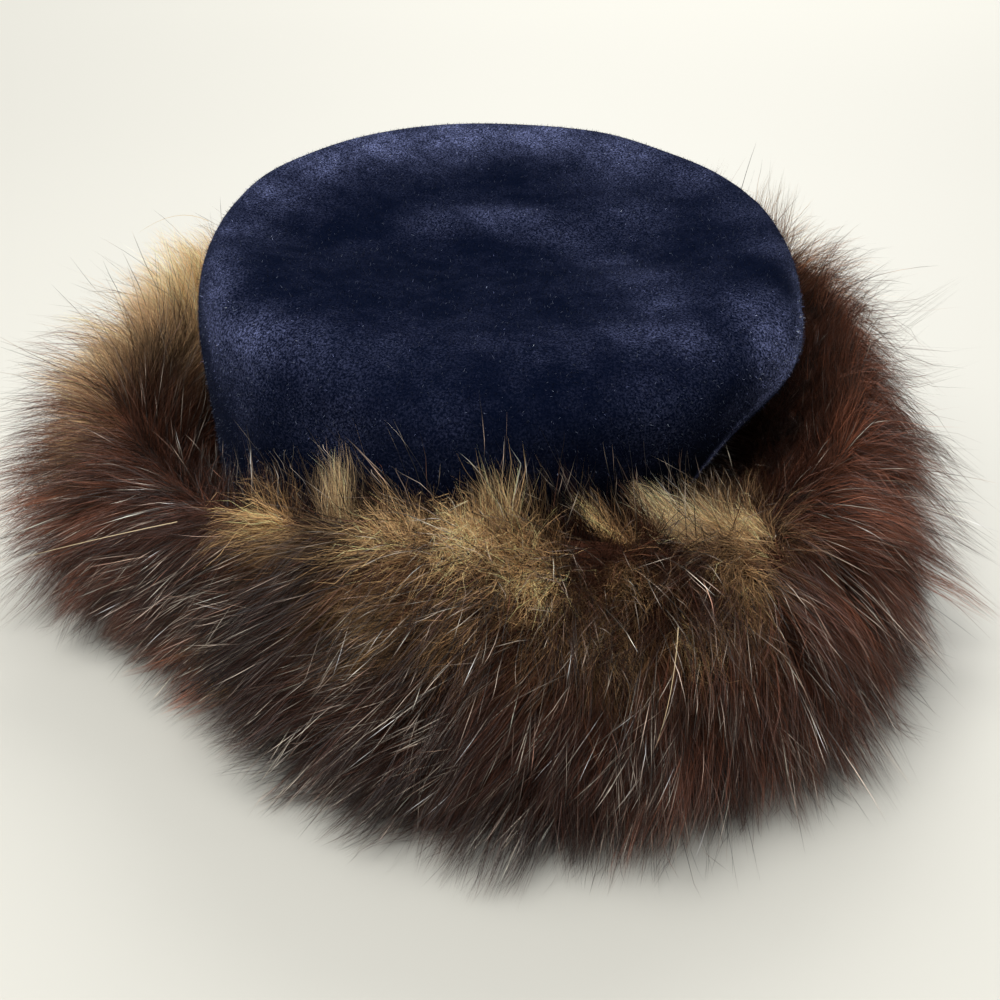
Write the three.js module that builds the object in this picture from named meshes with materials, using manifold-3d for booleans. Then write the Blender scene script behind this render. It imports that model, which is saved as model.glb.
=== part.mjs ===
// A fur-trimmed hat: a soft velour crown with a dished top, set in an upturned brim of deep fur.
// Millimetres, +Z up. The hat rests on the flat sole of its brim, with the head opening underneath.
// -Y is the front of the hat. Azimuths are in degrees, anticlockwise from +X seen from above.
import * as THREE from 'three';
import { mergeVertices } from 'three/addons/utils/BufferGeometryUtils.js';
import Module from 'manifold-3d';

const wasm = await Module();
wasm.setup();

// Driving dimensions.
const HEAD_HALF_WIDTH = 80;
const HEAD_HALF_DEPTH = 95;
const CROWN_HEIGHT = 126;
const CROWN_HEM = 3;
const FELT = 2.4;
const SEAM_GAP = 0.4;
const BRIM_CENTRE_X = -17;
const BRIM_CENTRE_Y = -7.5;
// The top leans: it falls towards +X and rises towards +Y by this much for each millimetre across.
const TOP_FALL_X = 0.033;
const TOP_RISE_Y = 0.02;

// The outside of the crown, one row for each level, as shares of its height and of the head opening.
const CROWN_SECTIONS = [
  { level: 0.024, width: 0.994, depth: 0.994, shiftX: -17.0, shiftY: -7.5 },
  { level: 0.240, width: 0.998, depth: 0.998, shiftX: -17.0, shiftY: -7.5 },
  { level: 0.385, width: 1.010, depth: 1.008, shiftX: -16.4, shiftY: -7.2 },
  { level: 0.560, width: 1.082, depth: 1.070, shiftX: -11.4, shiftY: -5.0 },
  { level: 0.720, width: 1.166, depth: 1.158, shiftX: -5.2, shiftY: -1.8 },
  { level: 0.830, width: 1.214, depth: 1.205, shiftX: -1.5, shiftY: 0.2 },
  { level: 0.905, width: 1.228, depth: 1.212, shiftX: 0.0, shiftY: 1.8 },
  { level: 0.960, width: 1.206, depth: 1.170, shiftX: 0.0, shiftY: 4.6 },
  { level: 0.992, width: 1.150, depth: 1.090, shiftX: 0.0, shiftY: 8.6 },
  { level: 1.000, width: 1.070, depth: 0.990, shiftX: 0.0, shiftY: 10.5 },
  { level: 0.985, width: 0.900, depth: 0.830, shiftX: 0.0, shiftY: 9.5 },
  { level: 0.962, width: 0.600, depth: 0.560, shiftX: 0.0, shiftY: 8.0 },
  { level: 0.950, width: 0.300, depth: 0.290, shiftX: 0.0, shiftY: 7.0 },
  { level: 0.948, width: 0.000, depth: 0.000, shiftX: 0.0, shiftY: 7.0 },
];
// Soft dents and swellings of the top, as places on it. A positive rise swells, a negative one dents.
const TOP_DENTS = [
  { x: 4, y: 34, reachX: 46, reachY: 15, rise: 4.5 },
  { x: 6, y: 6, reachX: 40, reachY: 20, rise: -4.0 },
  { x: -62, y: 22, reachX: 26, reachY: 34, rise: -3.5 },
  { x: 62, y: 40, reachX: 24, reachY: 30, rise: -3.5 },
  { x: 52, y: -34, reachX: 30, reachY: 14, rise: 2.5 },
  { x: -48, y: -40, reachX: 30, reachY: 16, rise: 2.0 },
];
// Slack folds down the side, pushed in (negative) or out (positive) where the felt sags on its brim.
const SIDE_FOLDS = [
  { azimuth: 238, width: 16, level: 0.62, reach: 0.22, push: -3.5 },
  { azimuth: 260, width: 11, level: 0.60, reach: 0.26, push: 2.2 },
  { azimuth: 287, width: 18, level: 0.66, reach: 0.20, push: -2.8 },
  { azimuth: 196, width: 12, level: 0.80, reach: 0.14, push: 2.0 },
  { azimuth: 60, width: 22, level: 0.66, reach: 0.24, push: -2.0 },
  { azimuth: 128, width: 20, level: 0.70, reach: 0.22, push: -2.4 },
];

// The pelt over the brim's padding, one row for each azimuth about the brim's centre: how far out
// its crest and its bulge lie, how high the crest is, how many degrees its hair sweeps round,
// clockwise from above, and how long the hair is.
const BRIM_SECTIONS = [
  { azimuth: 0, crestOut: 131, crestUp: 84, bulgeOut: 148, sweep: 10, hair: 27 },
  { azimuth: 30, crestOut: 132, crestUp: 88, bulgeOut: 150, sweep: 4, hair: 27 },
  { azimuth: 60, crestOut: 129, crestUp: 84, bulgeOut: 150, sweep: 4, hair: 27 },
  { azimuth: 90, crestOut: 126, crestUp: 79, bulgeOut: 150, sweep: 4, hair: 27 },
  { azimuth: 120, crestOut: 122, crestUp: 85, bulgeOut: 149, sweep: 4, hair: 28 },
  { azimuth: 150, crestOut: 114, crestUp: 81, bulgeOut: 143, sweep: 6, hair: 28 },
  { azimuth: 180, crestOut: 101, crestUp: 69, bulgeOut: 135, sweep: 14, hair: 29 },
  { azimuth: 210, crestOut: 99, crestUp: 77, bulgeOut: 124, sweep: 34, hair: 30 },
  { azimuth: 240, crestOut: 105, crestUp: 91, bulgeOut: 127, sweep: 48, hair: 31 },
  { azimuth: 270, crestOut: 114, crestUp: 98, bulgeOut: 149, sweep: 42, hair: 32 },
  { azimuth: 300, crestOut: 124, crestUp: 94, bulgeOut: 164, sweep: 32, hair: 32 },
  { azimuth: 330, crestOut: 132, crestUp: 88, bulgeOut: 159, sweep: 24, hair: 30 },
];
// The pelt's way round its padding, from the hem of the crown over the crest to the sole. Each row
// mixes the radii of the hem, the crest and the bulge, and sits at a share of the crest's height.
const PELT_WAY = [
  { hem: 1.00, crest: 0.00, bulge: 0.00, up: 0.08 },
  { hem: 0.92, crest: 0.08, bulge: 0.00, up: 0.34 },
  { hem: 0.66, crest: 0.34, bulge: 0.00, up: 0.64 },
  { hem: 0.34, crest: 0.66, bulge: 0.00, up: 0.90 },
  { hem: 0.00, crest: 1.00, bulge: 0.00, up: 1.00 },
  { hem: 0.00, crest: 0.50, bulge: 0.50, up: 0.90 },
  { hem: 0.00, crest: 0.13, bulge: 0.87, up: 0.66 },
  { hem: 0.00, crest: 0.00, bulge: 1.00, up: 0.40 },
  { hem: 0.02, crest: 0.00, bulge: 0.98, up: 0.17 },
  { hem: 0.15, crest: 0.00, bulge: 0.85, up: 0.03 },
  { hem: 0.34, crest: 0.00, bulge: 0.66, up: 0.00 },
  { hem: 0.88, crest: 0.00, bulge: 0.12, up: 0.00 },
];
// Rows of fur locks, at places along that way counted in its rows. The length and width are in
// millimetres, and the lift is how steeply a lock stands off the pelt.
const LOCK_ROWS = [
  { place: 2.5, count: 22, length: 0.75, width: 19, thick: 8, lift: 26 },
  { place: 3.6, count: 24, length: 0.90, width: 21, thick: 9, lift: 38 },
  { place: 4.6, count: 28, length: 1.10, width: 24, thick: 10, lift: 34 },
  { place: 5.6, count: 28, length: 1.25, width: 25, thick: 10, lift: 28 },
  { place: 6.6, count: 30, length: 1.25, width: 24, thick: 10, lift: 30 },
  { place: 7.6, count: 32, length: 1.10, width: 22, thick: 9, lift: 38 },
  { place: 8.4, count: 32, length: 1.00, width: 20, thick: 8, lift: 50 },
];

// Row of the crown's table where its side has turned over into its top.
const RIM_ROW = 9;
// Steps up the outside of the crown, counted in its table's rows, and fewer of them inside.
const LAST_ROW = CROWN_SECTIONS.length - 1;
const CROWN_STEPS = [
  0, 1, 2, 2.6, 3.2, 3.8, 4.5, 5.2, 6, 6.7, 7.4, 8, 8.6, 9.2, 10, 10.7, 11.6, LAST_ROW,
];
// The felt of the top is pressed thinner along its radius than the side by this share.
const TOP_PRESSED = 0.6;

const CROWN_TURNS = 44;
const BRIM_TURNS = 48;
// How deep a lock is rooted, and how it bends: the shares of its reach and of its rise at its middle,
// and the share of its rise that its tip keeps.
const LOCK_SINK = 4;
const LOCK_BEND = { onward: 0.5, upward: 0.62, droop: 0.72 };
const LOCK_SIDES = 4;
const LOCK_STEPS = 2;
const FULL_TURN = Math.PI * 2;

const VELOUR = { color: 0x10162c, roughness: 0.95, metalness: 0 };
const FUR = { color: 0x4a3222, roughness: 0.85, metalness: 0 };

const { degToRad, radToDeg, smoothstep } = THREE.MathUtils;

// Catmull-Rom through four neighbouring values.
function throughValues(before, from, to, after, t) {
  const slopeFrom = (to - before) / 2;
  const slopeTo = (after - from) / 2;
  const square = t * t;
  const cube = square * t;
  return (2 * cube - 3 * square + 1) * from + (cube - 2 * square + t) * slopeFrom
    + (3 * square - 2 * cube) * to + (cube - square) * slopeTo;
}

// A column of an open table at a place counted in its rows.
function alongRows(table, column, place) {
  const last = table.length - 1;
  const low = Math.min(Math.max(Math.floor(place), 0), last - 1);
  const at = (row) => table[Math.min(Math.max(row, 0), last)][column];
  return throughValues(at(low - 1), at(low), at(low + 1), at(low + 2), place - low);
}

// A column of the brim's table at any azimuth in radians.
function aroundBrim(column, azimuth) {
  const count = BRIM_SECTIONS.length;
  const place = ((azimuth / FULL_TURN) % 1 + 1) % 1 * count;
  const low = Math.floor(place);
  const at = (row) => BRIM_SECTIONS[(row + count) % count][column];
  return throughValues(at(low - 1), at(low), at(low + 1), at(low + 2), place - low);
}

function bell(distance) {
  return Math.exp(-distance * distance);
}

// How far the side is pushed along its radius at an azimuth in radians and a share of the height.
function sidePush(azimuth, level) {
  let push = 0;
  for (const fold of SIDE_FOLDS) {
    const away = Math.abs(radToDeg(azimuth) - fold.azimuth) % 360;
    const turn = Math.min(away, 360 - away) / fold.width;
    push += fold.push * bell(turn) * bell((level - fold.level) / fold.reach);
  }
  return push;
}

// How far the top rises or sinks at a place on it.
function topRise(x, y) {
  let rise = 0;
  for (const dent of TOP_DENTS) {
    rise += dent.rise * bell(Math.hypot((x - dent.x) / dent.reachX, (y - dent.y) / dent.reachY));
  }
  return rise;
}

// How much a place in the crown's rows belongs to its top, from 0 on the side to 1 within the rim.
function topShare(place) {
  return smoothstep(place, RIM_ROW - 1.5, RIM_ROW + 0.5);
}

// The crown's outside at a place counted in its table's rows, grown by an offset along its radius.
function crownPoint(place, azimuth, offset) {
  const level = alongRows(CROWN_SECTIONS, 'level', place);
  const onTop = topShare(place);
  const push = sidePush(azimuth, level) * (1 - onTop) + offset;
  const halfWidth = Math.max(HEAD_HALF_WIDTH * alongRows(CROWN_SECTIONS, 'width', place), 0);
  const halfDepth = Math.max(HEAD_HALF_DEPTH * alongRows(CROWN_SECTIONS, 'depth', place), 0);
  const reach = Math.min(halfWidth, halfDepth) > 1 ? push : 0;
  const x = alongRows(CROWN_SECTIONS, 'shiftX', place) + (halfWidth + reach) * Math.cos(azimuth);
  const y = alongRows(CROWN_SECTIONS, 'shiftY', place) + (halfDepth + reach) * Math.sin(azimuth);
  const lean = (TOP_RISE_Y * y - TOP_FALL_X * x) * smoothstep(level, 0.3, 0.9);
  return new THREE.Vector3(x, y, level * CROWN_HEIGHT + lean + topRise(x, y) * onTop);
}

// Radius of the crown's outside about the brim's centre, low down where the brim is sewn on.
function hemRadius(azimuth, offset) {
  const halfWidth = HEAD_HALF_WIDTH + offset;
  const halfDepth = HEAD_HALF_DEPTH + offset;
  return halfWidth * halfDepth
    / Math.hypot(halfDepth * Math.cos(azimuth), halfWidth * Math.sin(azimuth));
}

// The pelt's outside at an azimuth in radians and a place counted in its way's rows, both closed.
function peltPoint(azimuth, place) {
  const count = PELT_WAY.length;
  const low = Math.floor(place);
  const share = (column) => {
    const at = (row) => PELT_WAY[((row % count) + count) % count][column];
    return throughValues(at(low - 1), at(low), at(low + 1), at(low + 2), place - low);
  };
  const radius = share('hem') * hemRadius(azimuth, SEAM_GAP)
    + share('crest') * aroundBrim('crestOut', azimuth)
    + share('bulge') * aroundBrim('bulgeOut', azimuth);
  return new THREE.Vector3(
    BRIM_CENTRE_X + radius * Math.cos(azimuth),
    BRIM_CENTRE_Y + radius * Math.sin(azimuth),
    Math.max(share('up') * aroundBrim('crestUp', azimuth), 0),
  );
}

function weld(geometry) {
  geometry.deleteAttribute('uv');
  geometry.deleteAttribute('normal');
  return mergeVertices(geometry, 1e-3);
}

function solidOf(geometry) {
  const welded = weld(geometry);
  const index = welded.getIndex().array;
  const kept = [];
  for (let i = 0; i < index.length; i += 3) {
    const [a, b, c] = [index[i], index[i + 1], index[i + 2]];
    if (a !== b && b !== c && c !== a) kept.push(a, b, c);
  }
  return new wasm.Manifold(new wasm.Mesh({
    numProp: 3,
    vertProperties: new Float32Array(welded.getAttribute('position').array),
    triVerts: new Uint32Array(kept),
  }));
}

function geometryOf(solid) {
  const mesh = solid.getMesh();
  const geometry = new THREE.BufferGeometry();
  geometry.setAttribute('position', new THREE.BufferAttribute(mesh.vertProperties, 3));
  geometry.setIndex(new THREE.BufferAttribute(mesh.triVerts, 1));
  return geometry;
}

// Moves every vertex of a geometry to where a function of its old place puts it.
function reshape(geometry, place) {
  const position = geometry.getAttribute('position');
  const old = new THREE.Vector3();
  for (let i = 0; i < position.count; i += 1) {
    const moved = place(old.fromBufferAttribute(position, i));
    position.setXYZ(i, moved.x, moved.y, moved.z);
  }
  return geometry;
}

// A grid of revolution through stations, with each one's number as its height, so that a vertex
// tells which station it belongs to. A station on the axis has no radius.
function lathed(stations) {
  const profile = stations.map(({ place }, row) => new THREE.Vector2(place === LAST_ROW ? 0 : 1, row));
  return new THREE.LatheGeometry(profile, CROWN_TURNS);
}

// The felt shell: up the outside, over the rim to the middle of the top, and back down the inside.
function crownSolid() {
  const outside = CROWN_STEPS.map((place) => ({ place, inner: false }));
  const inside = CROWN_STEPS.toReversed().filter((place, i) => i % 2 === 0)
    .map((place) => ({ place, inner: true }));
  const stations = [...outside, ...inside, outside[0]];
  return solidOf(reshape(lathed(stations), (old) => {
    const { place, inner } = stations[Math.round(old.y)];
    const onTop = topShare(place);
    const thickness = inner ? FELT * (1 - onTop * TOP_PRESSED) : 0;
    const point = crownPoint(place, Math.atan2(old.x, old.z), -thickness);
    if (inner) point.z -= FELT * onTop;
    point.z = Math.max(point.z, CROWN_HEM);
    return point;
  }));
}

// What the brim and its fur are cut back to: the crown's outside with the seam's gap, filled, and
// carried down through the sole.
function crownRoom() {
  const outside = CROWN_STEPS.map((place) => ({ place, under: false }));
  const stations = [{ place: LAST_ROW, under: true }, { place: 0, under: true }, ...outside];
  return solidOf(reshape(lathed(stations), (old) => {
    const { place, under } = stations[Math.round(old.y)];
    const point = crownPoint(place, Math.atan2(old.x, old.z), SEAM_GAP);
    point.z += SEAM_GAP * topShare(place);
    if (under) point.z = -CROWN_HEM;
    return point;
  }));
}

// The padded pelt ring. A torus gives the closed grid, and its two angles give the azimuth and the
// place along the pelt's way.
function peltRing() {
  const rows = PELT_WAY.length;
  const geometry = new THREE.TorusGeometry(2, 1, rows, BRIM_TURNS);
  return solidOf(reshape(geometry, (old) => {
    const azimuth = Math.atan2(old.y, old.x);
    const turned = Math.atan2(old.z, Math.hypot(old.x, old.y) - 2);
    const place = Math.round((1 - turned / FULL_TURN) * rows) % rows;
    return peltPoint(azimuth, place);
  }));
}

// One lock of fur: a cone with a flat diamond section, bent along the way that the hair lies.
function lock(azimuth, row, stretch, roll) {
  const step = 0.02;
  const root = peltPoint(azimuth, row.place);
  const along = peltPoint(azimuth, row.place + step).sub(root).normalize();
  const round = peltPoint(azimuth + step, row.place).sub(root).normalize();
  const away = new THREE.Vector3().crossVectors(along, round).normalize();
  const sweep = degToRad(aroundBrim('sweep', azimuth) + roll);
  const lie = along.clone().multiplyScalar(Math.cos(sweep)).addScaledVector(round, -Math.sin(sweep));
  const side = new THREE.Vector3().crossVectors(lie, away).normalize();
  const lift = degToRad(row.lift);
  const length = aroundBrim('hair', azimuth) * row.length * stretch;
  const onward = lie.multiplyScalar(length * Math.cos(lift));
  const upward = away.clone().multiplyScalar(length * Math.sin(lift));
  const spine = new THREE.QuadraticBezierCurve3(
    root.clone().addScaledVector(away, -LOCK_SINK),
    root.clone().addScaledVector(onward, LOCK_BEND.onward).addScaledVector(upward, LOCK_BEND.upward),
    root.clone().add(onward).addScaledVector(upward, LOCK_BEND.droop),
  );
  const cone = new THREE.ConeGeometry(1, 1, LOCK_SIDES, LOCK_STEPS);
  return solidOf(reshape(cone, (old) => {
    const t = old.y + 0.5;
    const fullness = t < 1 ? 1 / Math.sqrt(1 - t) : 0;
    return spine.getPoint(t)
      .addScaledVector(side, old.x * fullness * row.width / 2)
      .addScaledVector(away, old.z * fullness * row.thick / 2);
  }));
}

// A repeatable wobble between -1 and 1, so that the locks don't stand in ranks.
function wobble(seed) {
  const value = Math.sin(seed * 12.9898) * 43758.5453;
  return (value - Math.floor(value)) * 2 - 1;
}

function furLocks() {
  const locks = [];
  LOCK_ROWS.forEach((row, tier) => {
    for (let i = 0; i < row.count; i += 1) {
      const seed = tier * 100 + i;
      const azimuth = FULL_TURN * (i + 0.5 * (tier % 2) + 0.24 * wobble(seed)) / row.count;
      const shifted = { ...row, place: row.place + 0.22 * wobble(seed + 0.3) };
      locks.push(lock(azimuth, shifted, 1 + 0.18 * wobble(seed + 0.6), 9 * wobble(seed + 0.8)));
    }
  });
  return locks;
}

// Everything above the surface that the hat rests on.
function aboveTable() {
  const side = 600;
  const box = new THREE.BoxGeometry(side, side, side);
  box.translate(0, 0, side / 2);
  return solidOf(box);
}

function furBrimSolid() {
  const whole = wasm.Manifold.union([peltRing(), ...furLocks()]);
  const cut = whole.intersect(aboveTable()).subtract(crownRoom());
  return cut.decompose().sort((a, b) => b.volume() - a.volume())[0];
}

function piece(name, solid, look) {
  const mesh = new THREE.Mesh(geometryOf(solid), new THREE.MeshStandardMaterial(look));
  mesh.name = name;
  return mesh;
}

function hat() {
  const group = new THREE.Group();
  group.name = 'fur_trimmed_hat';
  group.add(piece('crown', crownSolid(), VELOUR), piece('fur_brim', furBrimSolid(), FUR));
  const box = new THREE.Box3().setFromObject(group);
  group.position.set(-(box.min.x + box.max.x) / 2, -(box.min.y + box.max.y) / 2, -box.min.z);
  return group;
}

export default hat();
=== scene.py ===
"""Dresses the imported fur-trimmed hat: a velour crown with its nap, in a brim of combed fur."""
import math

import bpy
import numpy as np
from bpy.props import FloatProperty, FloatVectorProperty, IntProperty, PointerProperty
from mathutils import Matrix, Vector, noise
from mathutils.bvhtree import BVHTree
from mathutils.kdtree import KDTree


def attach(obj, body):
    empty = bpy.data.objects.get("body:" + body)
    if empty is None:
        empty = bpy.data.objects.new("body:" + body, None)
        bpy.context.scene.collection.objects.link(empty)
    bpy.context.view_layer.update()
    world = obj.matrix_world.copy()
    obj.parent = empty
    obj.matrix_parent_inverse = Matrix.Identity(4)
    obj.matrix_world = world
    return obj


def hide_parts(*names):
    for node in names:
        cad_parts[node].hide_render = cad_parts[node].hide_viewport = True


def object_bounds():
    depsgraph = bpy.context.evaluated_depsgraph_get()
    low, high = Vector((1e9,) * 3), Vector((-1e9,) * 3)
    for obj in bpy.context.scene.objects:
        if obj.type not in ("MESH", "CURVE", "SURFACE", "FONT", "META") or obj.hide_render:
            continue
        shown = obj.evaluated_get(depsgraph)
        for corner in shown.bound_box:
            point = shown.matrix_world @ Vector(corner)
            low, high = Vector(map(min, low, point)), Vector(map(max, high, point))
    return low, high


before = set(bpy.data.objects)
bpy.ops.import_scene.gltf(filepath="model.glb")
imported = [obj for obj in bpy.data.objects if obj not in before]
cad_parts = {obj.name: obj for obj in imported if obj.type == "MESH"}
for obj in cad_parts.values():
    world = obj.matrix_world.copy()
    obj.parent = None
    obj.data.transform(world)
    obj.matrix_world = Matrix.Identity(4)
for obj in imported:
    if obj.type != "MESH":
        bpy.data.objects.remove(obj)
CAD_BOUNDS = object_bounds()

bl_info = {
    "name": "Fur-Trimmed Hat",
    "version": (1, 0, 0),
    "blender": (4, 5, 0),
    "location": "View3D > Sidebar > Fur Hat",
    "description": "Models the velour crown, the pelt and the combed fur of a fur-trimmed hat",
    "category": "Object",
}

MM = 0.001
FULL_TURN = 2.0 * math.pi
# Keeps divisors off zero.
TINY = 1e-9
BODY = "root"
SEED = 20
STRAND_COLOUR = "strand_colour"
NAP_SHEEN = "nap_sheen"
# The export keeps a map of this name, so each strand gets a cell of its own in it.
STRAND_MAP = "OFBake"

# The crown's hem, its points within this band of the lowest, gives the centre that azimuths turn
# about.
HEM_BAND = 1.0 * MM


def vertex_array(mesh, key="co"):
    """The positions of a mesh's vertices, or their normals, as an array of rows."""
    vectors = np.empty(len(mesh.vertices) * 3)
    mesh.vertices.foreach_get(key, vectors)
    return vectors.reshape(-1, 3)


def hem_of(node):
    """The middle and the half sizes of a node's lowest ring, in metres."""
    points = vertex_array(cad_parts[node].data)
    low = points[points[:, 2] < points[:, 2].min() + HEM_BAND]
    lowest, highest = low.min(axis=0), low.max(axis=0)
    return (lowest + highest)[:2] / 2, (highest - lowest)[:2] / 2


def table(columns, rows):
    """Rows of values as dicts, each value under the name of its column."""
    return [dict(zip(columns.split(), row)) for row in rows]


def column(rows, key):
    """One column of a table as an array."""
    return np.array([row[key] for row in rows], dtype=float)


HEM_CENTRE, HEM_HALF = hem_of("crown")

# Soft dents (negative) and swellings (positive) that the felt has taken on, pressed along its
# normal. Places are measured from the hem's centre, and all sizes are in millimetres.
FELT_DENTS = table("x y z reach_x reach_y reach_z push", [
    (16, 31, 121, 30, 8, 12, 2.4),
    (18, 0, 118, 30, 14, 12, -2.4),
    (-46, 16, 122, 20, 22, 12, -1.4),
    (60, 10, 119, 18, 22, 12, -1.2),
    (62, 44, 121, 24, 9, 12, 1.4),
    (-32, -92, 108, 20, 16, 10, -2.4),
    (34, -98, 106, 24, 16, 12, -2.2),
    (2, -100, 110, 7, 16, 20, 1.4),
    (70, -88, 100, 10, 14, 26, 1.3),
    (-55, -74, 96, 9, 9, 30, 1.6),
    (102, -46, 103, 22, 24, 18, 4.6),
])

# The felt also ripples by this much. Dents and ripples fade out between two heights near the hem.
FELT_RIPPLE = 0.9
RIPPLE_SCALE = 26.0
DENT_HEIGHTS = (20.0, 60.0)
CROWN_MIDDLE = (10.0, 5.0, 60.0)
# The middle of the top, from the hem's centre, the height it lies above and how far it is eased.
TOP_MIDDLE = (17, 8)
TOP_LEVEL = 100.0 * MM
TOP_REACH = 60.0 * MM
TOP_ROUNDS = 16

# Painted sheen highlights on the nap, with places and reaches as for the dents. A row that shows
# this much or more belongs to the painted bright highlight along the right rim, which has its own
# cap.
RIM_HIGHLIGHT_SHOW = 1.0
RIM_HIGHLIGHT_CAP = 9.0
# Away from the rim the painted sheen is capped, and it never falls below its base.
SHEEN_CAP = 0.8
BASE_SHEEN = 0.008
STREAK_SCALE = 240.0
PAINTED_NAP_SHEEN = table("x y z reach show", [
    (-73, 12, 127, 13, 0.3),
    (-64, 44, 128, 13, 0.4),
    (-50, 72, 128, 14, 0.5),
    (-28, 92, 128, 15, 0.66),
    (2, 103, 128, 15, 0.8),
    (34, 103, 127, 15, 0.68),
    (64, 90, 125, 15, 0.46),
    (88, 67, 123, 14, 0.25),
    (103, 34, 123, 12, 0.15),
    (109, 2, 121, 10, 0.26),
    (-6, 30, 121, 9, 0.14),
    (10, 33, 121, 8, 0.34),
    (24, 31, 121, 8, 0.34),
    (38, 22, 118, 9, 0.18),
    (52, 4, 118, 10, 0.14),
    (60, -18, 120, 11, 0.18),
    (64, -42, 123, 10, 0.22),
    (86, -42, 121, 8, 0.08),
    (70, -65, 122, 9, 0.26),
    (-5, 80, 125, 14, 0.12),
    (57, 68, 122, 14, 0.12),
    (60, 34, 119, 14, 0.16),
    (-75, -14, 124, 9, 0.3),
    (-72, -30, 121, 9, 0.52),
    (-69, -45, 114, 9, 0.46),
    (-59, -58, 120, 9, 0.44),
    (-50, -65, 122, 10, 0.24),
    (-60, -62, 101, 12, 0.14),
    (-34, -72, 124, 10, 0.13),
    (-15, -76, 124, 11, 0.09),
    (10, -70, 123, 12, 0.05),
    (34, -72, 124, 11, 0.07),
    (54, -65, 123, 9, 0.22),
    (92, -51, 119, 8, 0.26),
    (100, -42, 118, 9, 0.26),
    (96, -57, 110, 9, 0.62),
    (80, -67, 103, 8, 0.2),
    (112, -12, 116, 4, 0.5),
    (112, -22, 115, 4, 0.9),
    (110, -32, 112, 4, 1.6),
    (107.5, -41, 109, 3.6, 3.2),
    (104.5, -49, 106, 3.6, 4.4),
    (100.5, -56, 102, 3.4, 5.6),
    (96, -61.5, 97, 3.4, 7),
    (92, -64.5, 91.5, 3.4, 8),
    (88, -65, 86, 3.4, 9),
    (85, -62.5, 81, 3.4, 9),
    (82, -59, 76, 3.4, 9),
    (79.5, -55.5, 71, 3.4, 8),
    (0, -103, 112, 14, 0.04),
    (-32, -90, 108, 13, 0.12),
    (60, -92, 112, 16, 0.07),
])

# The raised fibres start at a height and lean down the crown and to the front, at random too.
NAP_FROM = 45.0 * MM
NAP_LEAN = (0.1, -0.35, -0.25)
NAP_RANDOM = 0.75
NAP_TILT = 0.8
# Their own shares of the length, how far they twist, and how dark they are at root and tip.
NAP_GROWTH = (0.5, 1.3)
NAP_TWIST = 1.2
NAP_SHADES = (0.5, 1.2)
NAP_WIDTH = 0.11 * MM
LINT_WIDTH = 0.13 * MM
LINT_COLOUR = (0.17, 0.195, 0.27)
# Roughness and shine of the fibres and of the hair.
NAP_FINISH = (0.8, 0.05)
HAIR_FINISH = (0.36, 0.22)
# A face of the crown is on its inside when another wall stands in front of it within this reach.
INSIDE_REACH = 250.0 * MM

# The pelt under the fur, a row for each 30 degrees about the hem's centre from +X, in millimetres
# and degrees: its crest and bulge, how far round the hair sweeps, how far it stands off and how
# long the guard hair is. Then come the shares of that length on the slope to the crown and near the
# sole, how warm the brown is, and how many pale hairs stand in it.
PELT_SECTIONS = table("crest_out crest_up bulge_out sweep lift hair inner low warm silver", [
    (137, 80, 138, 8, 42, 59, 0.3, 0.95, 0.9, 0.12),
    (141, 91, 141, 2, 48, 60, 0.55, 0.9, 0.85, 0.12),
    (132, 86, 135, 2, 58, 52, 0.8, 0.9, 0.7, 0.12),
    (124, 77, 133, 2, 62, 49, 0.9, 0.95, 0.6, 0.12),
    (122, 84, 132, 4, 66, 52, 0.9, 0.85, 0.7, 0.12),
    (119, 80, 132, 8, 64, 51, 0.9, 0.7, 0.9, 0.2),
    (113, 71, 129, 14, 56, 57, 0.8, 0.36, 0.85, 0.4),
    (99, 65, 110, 34, 52, 36, 0.8, 0.6, 0.3, 0.5),
    (105, 80, 111, 50, 46, 40, 0.9, 0.68, 0.05, 0.65),
    (113, 88, 133, 44, 46, 43, 0.9, 0.88, 0.05, 1.1),
    (122, 78, 147, 34, 45, 46, 0.8, 0.86, 0.35, 1.3),
    (130, 73, 143, 20, 44, 49, 0.26, 1, 0.85, 0.4),
])
# The way from the crown's hem over the crest to the sole and back. Each row mixes the radii of the
# hem, the crest and the bulge, and sits at a share of the crest's height.
PELT_WAY = table("hem crest bulge up", [
    (1.0, 0.0, 0.0, 0.1),
    (0.92, 0.08, 0.0, 0.36),
    (0.66, 0.34, 0.0, 0.66),
    (0.34, 0.66, 0.0, 0.9),
    (0.0, 1.0, 0.0, 1.0),
    (0.0, 0.5, 0.5, 0.9),
    (0.0, 0.13, 0.87, 0.66),
    (0.0, 0.0, 1.0, 0.4),
    (0.02, 0.0, 0.98, 0.18),
    (0.15, 0.0, 0.85, 0.05),
    (0.45, 0.0, 0.55, 0.01),
    (0.9, 0.0, 0.1, 0.01),
])
PELT_LIFT = 0.5 * MM
PELT_TURNS = 180
PELT_STEPS = 72

# Bands of that way, counted in its rows: where the slope to the crown becomes the crest, where the
# outside becomes the sole, and where hair lets go of the pelt's curve. The trough holds painted
# shade, and towards the sole the tips are painted paler for light shining through them and the
# golden hair turns rusty.
TO_CREST = (2.6, 4.4)
TO_SOLE = (6.4, 8.2)
LET_GO = (8.0, 9.4)
SHADED_TROUGH = (2.8, 4.2)
LIT_THROUGH_TIPS = (6.6, 8.6)
RUSTY_GOLD = (6.2, 7.4)

# Where the golden underfur shows: azimuth and half width in degrees, place and half width along the
# pelt's way, counted in its rows, and how strongly it shows. A tuft there stands up of its own: it
# points towards an azimuth and leans from upright, in degrees, as firmly as stand says, size makes
# it longer, wild tangles it and pale bleaches it, or browns it where negative.
PATCH_COLUMNS = "azimuth reach way spread show towards lean stand size wild pale"
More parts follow.
